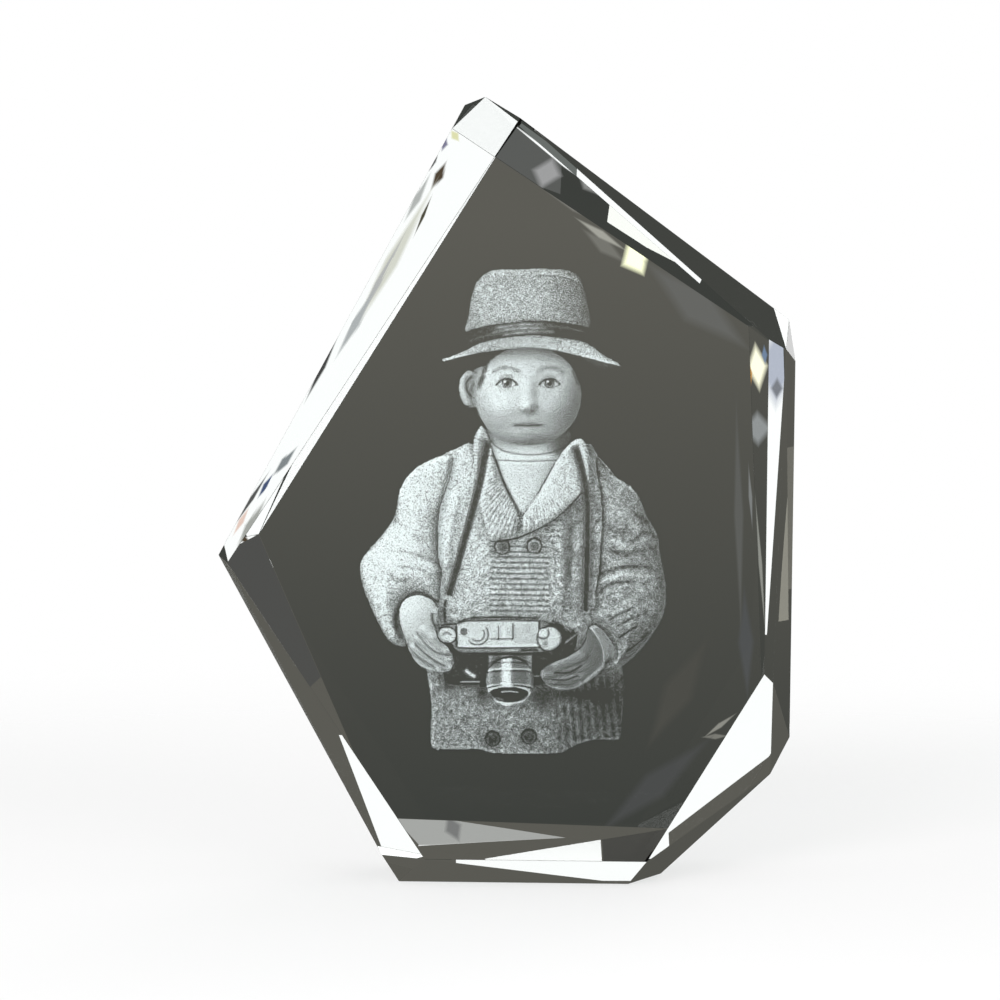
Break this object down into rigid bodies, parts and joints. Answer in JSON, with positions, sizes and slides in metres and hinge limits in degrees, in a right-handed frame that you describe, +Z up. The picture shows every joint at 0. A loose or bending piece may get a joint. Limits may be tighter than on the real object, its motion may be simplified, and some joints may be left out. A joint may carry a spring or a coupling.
{
  "type": "engraved glass block",
  "caption": "Free-standing faceted block of clear optical glass with a portrait figure engraved inside it as a layered cloud of white points.",
  "frame": {"origin": "centre of the block's bounding box, on the base facet's plane", "axes": "+Z up, -Y out of the front face, +X to the right seen from the front"},
  "size_m": [0.11, 0.04, 0.15],
  "materials": {
    "optical_glass": "clear, polished facets with crisp edges",
    "engraving_dense": "micro-cracked white, dense points",
    "engraving_open": "micro-cracked white, open points",
    "engraving_sparse": "micro-cracked white, few points"
  },
  "bodies": {
    "root": {"crystal_block": "optical_glass", "engraved_torso": "engraving_open", "engraved_sleeve_left": "engraving_open", "engraved_sleeve_right": "engraving_open", "engraved_neck": "engraving_dense", "engraved_camera_body": "engraving_sparse", "engraved_camera_top": "engraving_dense", "engraved_collar_left": "engraving_open", "engraved_collar_right": "engraving_open", "engraved_head": "engraving_dense", "engraved_hat_crown": "engraving_dense", "engraved_hat_band": "engraving_sparse", "engraved_hat_brim": "engraving_dense", "engraved_strap_left": "engraving_sparse", "engraved_strap_right": "engraving_sparse", "engraved_hand_left": "engraving_dense", "engraved_hand_right": "engraving_dense", "engraved_camera_lens": "engraving_open", "engraved_button_1": "engraving_sparse", "engraved_button_2": "engraving_sparse", "engraved_button_3": "engraving_sparse", "engraved_button_4": "engraving_sparse"}
  },
  "joints": []
}
